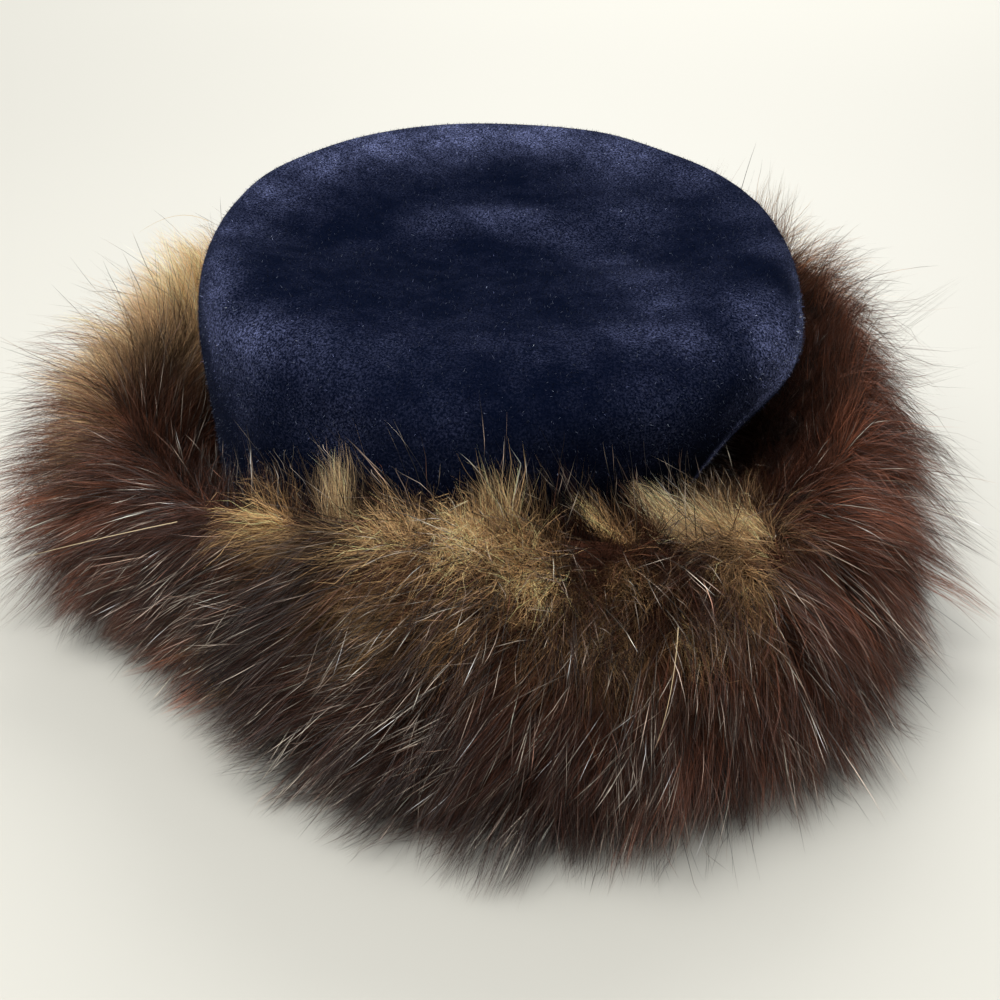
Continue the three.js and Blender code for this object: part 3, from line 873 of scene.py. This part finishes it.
def velour_material(settings):
    """Deep navy velour: dark down in the pile, paler in the painted sheen highlights on its nap."""
    material, tree, shader = new_material("velour_felt")
    place = add_node(tree, "ShaderNodeTexCoord")
    nap = add_node(tree, "ShaderNodeGroup", node_tree=nap_group())
    fill(nap, {"Patch Scale": 70.0, "Grain Scale": 1500.0, "Depth": 0.5})
    # Painted sheen: the highlight attribute and the noise patches mix in the nap's sheen colour,
    # speckled by the fibre grain.
    sheen_attribute = add_node(tree, "ShaderNodeAttribute", attribute_name=NAP_SHEEN)
    share = add_node(tree, "ShaderNodeMath", {1: 0.045}, operation="MULTIPLY_ADD")
    speckle = add_node(tree, "ShaderNodeMath", operation="MULTIPLY")
    grain_ramp = add_node(tree, "ShaderNodeMapRange", {
        "From Min": 0.44, "From Max": 0.70, "To Min": 0.1, "To Max": 2.6})
    colour = add_node(tree, "ShaderNodeMix", data_type="RGBA", clamp_factor=False)
    fill(colour, {"A": (*settings.felt_colour, 1.0), "B": (*settings.nap_sheen_colour, 1.0)})
    fill(shader, {"Roughness": 0.78, "Specular IOR Level": 0.0, "Sheen Weight": 0.03,
                  "Sheen Roughness": 0.3, "Sheen Tint": (*settings.sheen_colour, 1.0)})
    wire(tree, [
        (place, "Object", nap, "Vector"), (nap, "Mask", share, 0), (sheen_attribute, "Fac", share, 2),
        (nap, "Grain", grain_ramp, "Value"), (share, "Value", speckle, 0),
        (grain_ramp, "Result", speckle, 1), (speckle, "Value", colour, "Factor"),
        (colour, "Result", shader, "Base Color"), (nap, "Normal", shader, "Normal")])
    return material


def strand_material(name, roughness, shine):
    """Fibres and hairs that carry their own colour from root to tip, made once for each name."""
    if name in bpy.data.materials:
        return bpy.data.materials[name]
    material, tree, shader = new_material(name)
    colour = add_node(tree, "ShaderNodeAttribute", attribute_name=STRAND_COLOUR)
    wire(tree, [(colour, "Color", shader, "Base Color")])
    fill(shader, {"Roughness": roughness, "Specular IOR Level": shine})
    return material


def pelt_material(settings):
    """The dark skin and short wool at the roots of the fur."""
    material, tree, shader = new_material("pelt")
    place = add_node(tree, "ShaderNodeTexCoord")
    wool = add_node(tree, "ShaderNodeGroup", node_tree=nap_group())
    fill(wool, {"Patch Scale": 60.0, "Grain Scale": 700.0, "Depth": 1.0})
    colour = add_node(tree, "ShaderNodeMix", data_type="RGBA")
    fill(colour, {"A": (*settings.skin_colour, 1.0),
                  "B": (*(np.array(settings.brown_colour) * 0.3), 1.0)})
    fill(shader, {"Roughness": 0.95, "Specular IOR Level": 0.1})
    wire(tree, [
        (place, "Object", wool, "Vector"), (wool, "Mask", colour, "Factor"),
        (colour, "Result", shader, "Base Color"), (wool, "Normal", shader, "Normal")])
    return material


def floor_material(settings):
    """A pale matt floor, faintly uneven, which stays bright beyond the reach of the lights."""
    material, tree, shader = new_material("pale_floor")
    place = add_node(tree, "ShaderNodeTexCoord")
    mottle = add_node(tree, "ShaderNodeTexNoise", {"Scale": 3.0})
    colour = add_node(tree, "ShaderNodeMix", data_type="RGBA")
    pale = np.array(settings.floor_colour)
    fill(colour, {"A": (*(pale * 0.98), 1.0), "B": (*pale, 1.0)})
    fill(shader, {"Roughness": 0.6, "Emission Color": (*pale, 1.0)})
    away = add_node(tree, "ShaderNodeVectorMath", operation="LENGTH")
    glow = add_node(tree, "ShaderNodeMapRange", {"From Min": 0.5, "From Max": 2.4, "To Max": 0.85},
                    interpolation_type="SMOOTHSTEP")
    wire(tree, [
        (place, "Object", away, 0), (away, "Value", glow, "Value"),
        (glow, "Result", shader, "Emission Strength"), (place, "Object", mottle, "Vector"),
        (mottle, "Fac", colour, "Factor"), (colour, "Result", shader, "Base Color")])
    return material


def nap_group():
    """The group of noise patches and grain, made once."""
    return bpy.data.node_groups.get("Sheen And Wool Patches") or patch_and_grain_group()


class FURHAT_OT_crown(bpy.types.Operator):
    """Model the velour crown over its solid, smooth it and press its soft dents"""

    bl_idname = "furhat.crown"
    bl_label = "Velour Crown"

    def execute(self, context):
        settings = context.scene.furhat_crown
        deselect_all()
        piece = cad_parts["crown"].copy()
        piece.data = piece.data.copy()
        piece.name = "crown_velour"
        piece.parent = None
        piece.hide_render = False
        context.scene.collection.objects.link(piece)
        select_only(piece)
        bpy.ops.object.mode_set(mode="EDIT")
        bpy.ops.mesh.select_all(action="SELECT")
        bpy.ops.mesh.remove_doubles(threshold=0.02 * MM)
        bpy.ops.mesh.tris_convert_to_quads(face_threshold=math.pi, shape_threshold=math.pi)
        bpy.ops.object.mode_set(mode="OBJECT")
        smooth = piece.modifiers.new("smooth", "SUBSURF")
        smooth.levels = smooth.render_levels = 2
        bpy.ops.object.modifier_apply(modifier=smooth.name)
        self.ease_top(piece)
        self.press_dents(piece.data, settings.dent_depth)
        bpy.ops.object.shade_smooth()
        join_in(piece, velour_material(settings), "crown")
        return {"FINISHED"}

    @staticmethod
    def ease_top(piece):
        """Smooths the middle of the top, where the solid's faces meet in a point."""
        points = vertex_array(piece.data)
        away = np.hypot(*(points[:, :2] - HEM_CENTRE - np.array(TOP_MIDDLE) * MM).T)
        chosen = (points[:, 2] > TOP_LEVEL) & (away < TOP_REACH)
        piece.data.vertices.foreach_set("select", chosen)
        bpy.ops.object.mode_set(mode="EDIT")
        bpy.ops.mesh.vertices_smooth(factor=0.5, repeat=TOP_ROUNDS)
        bpy.ops.object.mode_set(mode="OBJECT")

    @staticmethod
    def press_dents(mesh, depth):
        """Moves the felt along its normals, and stores its painted sheen highlights as an
        attribute.
        """
        points, normals = vertex_array(mesh), vertex_array(mesh, "normal")
        local = (points - [HEM_CENTRE[0], HEM_CENTRE[1], 0.0]) / MM
        push = np.array(
            [FELT_RIPPLE * noise.noise(Vector(point * RIPPLE_SCALE)) for point in points])
        for dent in FELT_DENTS:
            away = sum(((local[:, axis] - dent[key]) / dent["reach_" + key]) ** 2
                       for axis, key in enumerate("xyz"))
            push += dent["push"] * np.exp(-away)
        push *= smoothstep(local[:, 2], *DENT_HEIGHTS)
        outward = np.sign(np.einsum("ij,ij->i", normals, local - CROWN_MIDDLE))
        moved = points + normals * (push * outward * depth * MM)[:, None]
        mesh.vertices.foreach_set("co", moved.ravel())
        # Painted sheen highlights: a soft blob for each row, the rim ones with their own cap,
        # broken by streaks.
        light = np.full(len(points), BASE_SHEEN)
        edge = np.zeros(len(points))
        for blob in PAINTED_NAP_SHEEN:
            away = ((local - [blob["x"], blob["y"], blob["z"]]) ** 2).sum(axis=1)
            shown = blob["show"] * np.exp(-(away / blob["reach"] ** 2))
            (light if blob["show"] < RIM_HIGHLIGHT_SHOW else edge)[:] += shown
        layer = mesh.attributes.new(name=NAP_SHEEN, type="FLOAT", domain="POINT")
        streak = np.array([noise.noise(Vector(point * STREAK_SCALE)) for point in points])
        shine = np.minimum(light, SHEEN_CAP) + np.minimum(edge, RIM_HIGHLIGHT_CAP)
        layer.data.foreach_set("value", shine * (0.9 + 0.7 * streak))
        mesh.update()


class FURHAT_OT_nap(bpy.types.Operator):
    """Raise the nap of the felt as short fibres, and lay a little pale lint on it"""

    bl_idname = "furhat.nap"
    bl_label = "Crown Nap"

    def execute(self, context):
        settings = context.scene.furhat_crown
        crown = bpy.data.objects["crown_velour"]
        rng = np.random.default_rng(SEED)
        self.raise_fibres(
            rng, crown, "crown_nap", settings.nap_fibres, settings.nap_length, NAP_WIDTH,
            np.array(settings.nap_sheen_colour), variety=1.2, match=1.0)
        self.raise_fibres(
            rng, crown, "crown_lint", settings.lint_fibres, settings.nap_length, LINT_WIDTH,
            np.array(LINT_COLOUR), variety=0.55, match=0.5)
        return {"FINISHED"}

    @staticmethod
    def raise_fibres(rng, crown, name, count, length, width, colour, variety, match):
        """Short ribbons that stand a little off the outside of the felt, brightened by its painted
        sheen highlights.
        """
        mesh = crown.data
        mesh.calc_loop_triangles()
        triangles = np.empty(len(mesh.loop_triangles) * 3, dtype=np.int32)
        mesh.loop_triangles.foreach_get("vertices", triangles)
        triangles = triangles.reshape(-1, 3)
        points, normals = vertex_array(mesh), vertex_array(mesh, "normal")
        a, b, c = (points[triangles[:, k]] for k in range(3))
        area = np.linalg.norm(np.cross(b - a, c - a), axis=1)
        middle = (a + b + c) / 3
        facing = unit(np.cross(b - a, c - a))
        outside = np.einsum("ij,ij->i", facing, middle - [*HEM_CENTRE, 0.05]) > 0
        inner = FURHAT_OT_nap.hidden_inside(middle, facing, mesh)
        area *= outside & ~inner & (middle[:, 2] > NAP_FROM)
        chosen = rng.choice(len(triangles), size=count, p=area / area.sum())
        weight = rng.dirichlet((1.0, 1.0, 1.0), count)
        corner = triangles[chosen]
        root = np.einsum("ij,ijk->ik", weight, points[corner])
        normal = unit(np.einsum("ij,ijk->ik", weight, normals[corner]))
        lean = rng.normal(size=(count, 3)) * NAP_RANDOM + NAP_LEAN
        way = unit(normal + lean * NAP_TILT)
        own = length * rng.uniform(*NAP_GROWTH, count)
        steps = np.linspace(0.0, 1.0, 2)
        paths = root[:, None] + way[:, None] * (own[:, None, None] * steps[None, :, None])
        sides = ribbon_sides(rng, paths, normal, NAP_TWIST)
        # The fibres take up the felt's painted sheen, brightest along the painted rim highlight.
        shine = np.empty(len(points))
        mesh.attributes[NAP_SHEEN].data.foreach_get("value", shine)
        shine = np.clip(0.04 + 1.3 * shine[corner[:, 0]], 0.03, RIM_HIGHLIGHT_CAP)
        shade = np.exp(rng.normal(0.0, variety, count)) * (1.0 + match * (shine - 1.0))
        shade = shade[:, None, None]
        root_to_tip = np.linspace(*NAP_SHADES, 2)[None, :, None]
        colours = np.clip(colour * shade * root_to_tip, 0, 1)
        piece = ribbon_mesh(name, paths, sides, np.full(count, width), colours)
        join_in(piece, strand_material("nap_fibre", *NAP_FINISH), "crown")

    @staticmethod
    def hidden_inside(middle, facing, mesh):
        """Whether faces belong to the inside of the felt: another wall stands close in front."""
        tree = wall_tree(mesh)
        hidden = np.zeros(len(middle), dtype=bool)
        for number, (place, way) in enumerate(zip(middle, facing)):
            start = Vector(place + way * 0.1 * MM)
            hidden[number] = tree.ray_cast(start, Vector(way), INSIDE_REACH)[0] is not None
        return hidden


class FURHAT_OT_pelt(bpy.types.Operator):
    """Shape the padded pelt ring that the fur grows from"""

    bl_idname = "furhat.pelt"
    bl_label = "Pelt"

    def execute(self, context):
        settings = context.scene.furhat_fur
        deselect_all()
        ring = 2.0
        bpy.ops.mesh.primitive_torus_add(
            major_segments=PELT_TURNS, minor_segments=PELT_STEPS, major_radius=ring,
            minor_radius=ring / 2)
        piece = context.object
        piece.name = "fur_pelt"
        points = vertex_array(piece.data)
        azimuth = np.arctan2(points[:, 1], points[:, 0])
        turned = np.arctan2(points[:, 2], np.hypot(points[:, 0], points[:, 1]) - ring)
        way = (0.5 - turned / FULL_TURN) % 1.0 * len(PELT_WAY)
        piece.data.vertices.foreach_set("co", pelt_point(azimuth, way).ravel())
        piece.data.update()
        select_only(piece)
        bpy.ops.object.mode_set(mode="EDIT")
        bpy.ops.mesh.select_all(action="SELECT")
        bpy.ops.mesh.normals_make_consistent(inside=False)
        bpy.ops.object.mode_set(mode="OBJECT")
        bpy.ops.object.shade_smooth()
        join_in(piece, pelt_material(settings), "fur_brim")
        return {"FINISHED"}


class FURHAT_OT_fur(bpy.types.Operator):
    """Grow the coats of fur from the pelt, combed round, gathered into locks and tufts"""

    bl_idname = "furhat.fur"
    bl_label = "Fur Coats"

    def execute(self, context):
        settings = context.scene.furhat_fur
        walls = wall_tree(bpy.data.objects["crown_velour"].data)
        for number, coat in enumerate(FUR_COATS):
            self.grow(settings, coat, np.random.default_rng(SEED + 1 + number), walls)
        self.lay_straws(settings)
        return {"FINISHED"}

    @staticmethod
    def lay_straws(settings):
        """Lays the few long straw-coloured hairs over the rest, each a curve through its places."""
        places = np.array(STRAW_HAIRS, dtype=float) * MM + [*HEM_CENTRE, 0.0]
        t = np.linspace(0.0, 1.0, STRAW_STEPS)[None, :, None]
        root, middle, tip = (places[:, None, k] for k in range(3))
        paths = (root * (2 * t - 1) * (t - 1) + middle * 4 * t * (1 - t) + tip * t * (2 * t - 1))
        count = len(paths)
        facing = np.tile(STRAW_FACING, (count, 1))
        sides = ribbon_sides(np.random.default_rng(SEED), paths, facing, STRAW_TWIST)
        straw = np.array(settings.golden_colour) * STRAW_TINT
        colours = np.tile(straw, (count, STRAW_STEPS, 1))
        piece = ribbon_mesh("fur_straw", paths, sides, np.full(count, STRAW_WIDTH), colours)
        join_in(piece, strand_material("fur_hair", *HAIR_FINISH), "fur_brim")

    @staticmethod
    def guides(rng, coat, spacing):
        """Guide hairs at about one to each cube of a spacing."""
        low, high = coat["way"]
        azimuth, way = scatter_on_pelt(rng, GUIDE_TRIES, low - 0.2, high + 0.2)
        cells = np.floor(pelt_point(azimuth, way) / spacing).astype(int)
        _, chosen = np.unique(cells, axis=0, return_index=True)
        return azimuth[chosen], way[chosen]

    def grow(self, settings, coat, rng, walls):
        """Makes one coat: each tuft's guide takes its lock's turn, and each hair its tuft's."""
        count = int(coat["count"] * settings.fullness)
        pale = coat["tone"] == "silver"
        azimuth, way = scatter_on_pelt(rng, count, *coat["way"], coat["favour"], pale)
        roots = pelt_point(azimuth, way)
        locks = self.guides(rng, coat, LOCK_SPACING)
        tufts = self.guides(rng, coat, TUFT_SPACING)
        lock_of_tuft = nearest_rows(pelt_point(*locks), pelt_point(*tufts))
        owner = nearest_rows(pelt_point(*tufts), roots)
        spread = np.array([coat["stray"], coat["ruffle"], GROWTH_SPREAD])
        lock_traits = rng.normal(size=(len(locks[0]), 3)) * spread
        own = rng.normal(size=(len(tufts[0]), 3)) * spread * TUFT_OWN
        tuft_traits = lock_traits[lock_of_tuft] + own
        traits = tuft_traits[owner] + rng.normal(size=(count, 3)) * spread * HAIR_OWN
        lock_paths = comb(rng, coat, *locks, lock_traits)
        tuft_paths = comb(rng, coat, *tufts, tuft_traits)
        tuft_paths = gather(tuft_paths, lock_paths, lock_of_tuft,
                            np.full(len(tufts[0]), LOCK_PULL * coat["clump"]))
        paths = comb(rng, coat, azimuth, way, traits)
        loose = 1.0 - LOOSEST * rng.random(count) ** 3
        paths = gather(paths, tuft_paths, owner, coat["clump"] * loose)
        paths = keep_short(keep_clear(paths, rng, walls))
        _, _, out, _, _ = pelt_axes(azimuth, way)
        sides = ribbon_sides(rng, paths, out, HAIR_TWIST)
        widths = coat["width"] * MM * rng.uniform(*HAIR_WIDTHS, count)
        colours = coat_colours(rng, settings, coat, azimuth, way, owner, lock_of_tuft[owner])
        piece = ribbon_mesh(coat["name"], paths, sides, widths, colours)
        join_in(piece, strand_material("fur_hair", *HAIR_FINISH), "fur_brim")


class FURHAT_OT_stage(bpy.types.Operator):
    """Lay the pale floor, hang the soft lights and set the camera"""

    bl_idname = "furhat.stage"
    bl_label = "Stage"

    def execute(self, context):
        settings = context.scene.furhat_stage
        deselect_all()
        bpy.ops.mesh.primitive_plane_add(size=FLOOR_SIZE)
        floor = context.object
        floor.name = "floor"
        floor.data.materials.append(floor_material(settings))
        self.set_camera(context, settings)
        for lamp in LAMPS:
            self.add_light(lamp, settings.key_power)
        world = bpy.data.worlds.new("studio")
        world.use_nodes = True
        fill(world.node_tree.nodes["Background"], {"Color": SKY_COLOUR, "Strength": SKY_STRENGTH})
        context.scene.world = world
        context.scene.view_settings.view_transform = "Standard"
        return {"FINISHED"}

    @staticmethod
    def add_light(lamp, power):
        """A square area light that faces a point, with its share of the power."""
        bpy.ops.object.light_add(type="AREA", location=lamp["place"])
        light = bpy.context.object
        light.name = lamp["name"]
        facing = Vector(lamp["target"]) - Vector(lamp["place"])
        light.rotation_euler = facing.to_track_quat("-Z", "Y").to_euler()
        light.data.size = lamp["size"]
        light.data.energy = power * lamp["share"]

    @staticmethod
    def set_camera(context, settings):
        """Looks from the front and above, as high as the photograph does."""
        target = Vector(np.array([*HEM_CENTRE, 0.0]) + np.array(CAMERA_AIM) * MM)
        elevation = settings.camera_elevation
        back = Vector((0.0, -math.cos(elevation), math.sin(elevation)))
        bpy.ops.object.camera_add(location=target + back * settings.camera_distance)
        camera = context.object
        roll = Matrix.Rotation(math.radians(CAMERA_ROLL), 3, "Z")
        facing = (-back).to_track_quat("-Z", "Y").to_matrix()
        camera.rotation_euler = (facing @ roll).to_euler()
        camera.data.sensor_width = CAMERA_SENSOR
        camera.data.lens = CAMERA_LENS
        camera.data.clip_start = 0.01
        context.scene.camera = camera


class FURHAT_PT_panel(bpy.types.Panel):
    """Sizes, colours and steps of the fur-trimmed hat"""

    bl_idname = "FURHAT_PT_panel"
    bl_label = "Fur-Trimmed Hat"
    bl_space_type = "VIEW_3D"
    bl_region_type = "UI"
    bl_category = "Fur Hat"

    def draw(self, context):
        for group in ("furhat_crown", "furhat_fur", "furhat_stage"):
            settings = getattr(context.scene, group)
            box = self.layout.box()
            for name in settings.__annotations__:
                box.prop(settings, name)
        for operator in OPERATORS:
            self.layout.operator(operator.bl_idname)


OPERATORS = (FURHAT_OT_crown, FURHAT_OT_nap, FURHAT_OT_pelt, FURHAT_OT_fur, FURHAT_OT_stage)
CLASSES = (CrownSettings, FurSettings, StageSettings, *OPERATORS, FURHAT_PT_panel)


def register():
    """Registers the classes and puts the settings on the scene."""
    for cls in CLASSES:
        bpy.utils.register_class(cls)
    bpy.types.Scene.furhat_crown = PointerProperty(type=CrownSettings)
    bpy.types.Scene.furhat_fur = PointerProperty(type=FurSettings)
    bpy.types.Scene.furhat_stage = PointerProperty(type=StageSettings)


def unregister():
    """Takes the settings off the scene and unregisters the classes."""
    del bpy.types.Scene.furhat_stage
    del bpy.types.Scene.furhat_fur
    del bpy.types.Scene.furhat_crown
    for cls in reversed(CLASSES):
        bpy.utils.unregister_class(cls)


def main():
    """Builds the whole scene in order."""
    register()
    bpy.ops.furhat.crown()
    bpy.ops.furhat.nap()
    bpy.ops.furhat.pelt()
    bpy.ops.furhat.fur()
    bpy.ops.furhat.stage()


if __name__ == "__main__":
    main()
